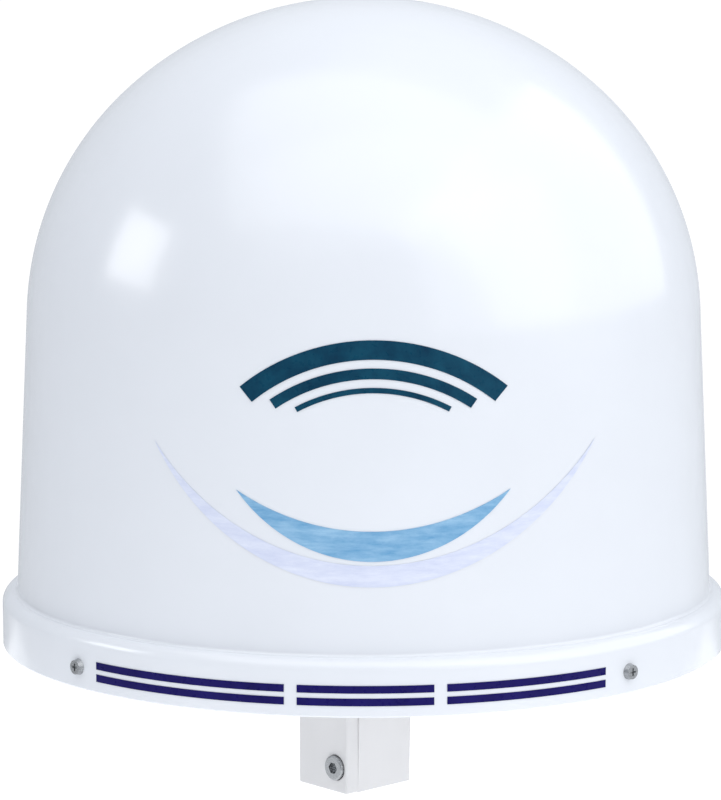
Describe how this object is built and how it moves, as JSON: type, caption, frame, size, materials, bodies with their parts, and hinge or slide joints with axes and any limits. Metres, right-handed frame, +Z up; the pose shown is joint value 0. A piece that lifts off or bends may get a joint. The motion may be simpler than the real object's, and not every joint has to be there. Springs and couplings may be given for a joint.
{
  "type": "stabilised marine dome antenna",
  "caption": "White domed marine antenna on a square mast socket: a lift-off radome over a tray, with a steered dish reflector turning in azimuth, elevation and skew.",
  "frame": {"origin": "centre of the mast bore's mouth, at the very bottom of the mount block", "axes": "+Z up along the mast, the printed front of the dome faces -Y"},
  "size_m": [0.375, 0.3752, 0.409],
  "materials": {
    "gelcoat_white": "glossy white gelcoat, slightly cool",
    "teal_film": "dark teal vinyl film",
    "blue_film": "light sea-blue vinyl film",
    "pale_film": "pale lavender-grey vinyl film",
    "navy_film": "navy vinyl film",
    "tray_plastic": "off-white moulded plastic",
    "mount_plastic": "off-white moulded nylon, satin",
    "stainless": "stainless steel",
    "aluminium_plate": "machined aluminium",
    "anodised_arm": "dark anodised aluminium",
    "bearing_steel": "polished bearing steel",
    "spring_steel": "blackened spring steel",
    "bronze": "sintered bronze",
    "gear_nylon": "natural acetal",
    "motor_case": "black painted motor with bare end bells",
    "belt_rubber": "black toothed belt",
    "gasket_rubber": "black foam rubber",
    "circuit_green": "green circuit board",
    "chip_black": "black moulded chips",
    "dish_paint": "light grey painted spun aluminium",
    "feed_cover": "white dielectric plastic",
    "lnb_casting": "grey painted die casting",
    "gland_black": "black nylon",
    "weight_steel": "painted steel"
  },
  "bodies": {
    "root": {"mast_socket_block": "mount_plastic", "clamp_cap": "mount_plastic", "clamp_shoe": "gear_nylon", "clamp_screws": "stainless", "flange_bolts": "stainless", "flange_nuts": "stainless", "base_tray": "tray_plastic", "cable_gland": "gland_black", "gland_seal": "gasket_rubber", "gland_locknut": "gland_black", "interface_board": "circuit_green", "backing_plate": "aluminium_plate", "azimuth_spindle": "aluminium_plate", "spindle_screws": "stainless", "azimuth_ring_gear": "gear_nylon", "ring_gear_screws": "stainless", "bearing_inner_races": "bearing_steel", "bearing_balls": "bearing_steel", "spindle_circlip": "spring_steel"},
    "radome": {"radome": "gelcoat_white", "radome_gasket": "gasket_rubber", "radome_screws": "stainless", "radome_nuts": "stainless", "front_arches": "teal_film", "front_crescent": "blue_film", "pale_crescent": "pale_film", "lip_stripes": "navy_film"},
    "turntable": {"turntable": "aluminium_plate", "bearing_outer_races": "bearing_steel", "azimuth_motor": "motor_case", "left_arm": "anodised_arm", "right_arm": "anodised_arm", "arm_screws": "stainless", "pivot_bushes": "bronze", "elevation_motor": "motor_case", "elevation_belt": "belt_rubber", "control_board": "circuit_green", "board_standoffs": "bronze", "board_chips": "chip_black", "gps_antenna": "feed_cover", "rotary_joint": "aluminium_plate"},
    "azimuth_pinion": {"azimuth_pinion": "bronze"},
    "elevation_motor_pulley": {"elevation_motor_pulley": "aluminium_plate"},
    "cradle": {"cradle_frame": "anodised_arm", "pivot_shafts": "stainless", "elevation_pulley": "gear_nylon", "dish_spacers": "aluminium_plate", "reflector_dish": "dish_paint", "dish_screws": "stainless", "feed_bush": "gear_nylon", "skew_motor": "motor_case", "gyro_module": "chip_black", "counterweights": "weight_steel"},
    "feed": {"feed_tube": "aluminium_plate", "feed_cap": "feed_cover", "subreflector": "aluminium_plate", "lnb_housing": "lnb_casting", "lnb_ports": "bronze", "skew_gear": "gear_nylon"},
    "skew_pinion": {"skew_pinion": "bronze"}
  },
  "joints": [
    {"name": "radome_lift", "type": "slide", "parent": "root", "child": "radome", "axis": [0, 0, 1], "range_m": [0, 0.35]},
    {"name": "azimuth", "type": "hinge", "parent": "root", "child": "turntable", "pos_m": [0, 0, 0.1], "axis": [0, 0, 1], "continuous": true},
    {"name": "azimuth_pinion_spin", "type": "hinge", "parent": "turntable", "child": "azimuth_pinion", "pos_m": [0.04339, 0.05171, 0.0905], "axis": [0, 0, 1], "continuous": true},
    {"name": "elevation", "type": "hinge", "parent": "turntable", "child": "cradle", "pos_m": [0, 0, 0.228], "axis": [-1, 0, 0], "range_deg": [-20, 40]},
    {"name": "elevation_motor_spin", "type": "hinge", "parent": "turntable", "child": "elevation_motor_pulley", "pos_m": [-0.073, 0, 0.14], "axis": [-1, 0, 0], "range_deg": [-61, 121]},
    {"name": "skew", "type": "hinge", "parent": "cradle", "child": "feed", "pos_m": [0, 0, 0.228], "axis": [0, -0.8192, 0.5736], "range_deg": [-60, 60]},
    {"name": "skew_pinion_spin", "type": "hinge", "parent": "cradle", "child": "skew_pinion", "pos_m": [0.033, -0.01434, 0.23804], "axis": [0, -0.8192, 0.5736], "range_deg": [-161, 161]}
  ],
  "couplings": [
    {"joint": "azimuth_pinion_spin", "follows": "azimuth", "ratio": 4},
    {"joint": "elevation_motor_spin", "follows": "elevation", "ratio": 3},
    {"joint": "skew_pinion_spin", "follows": "skew", "ratio": -2.6667}
  ]
}
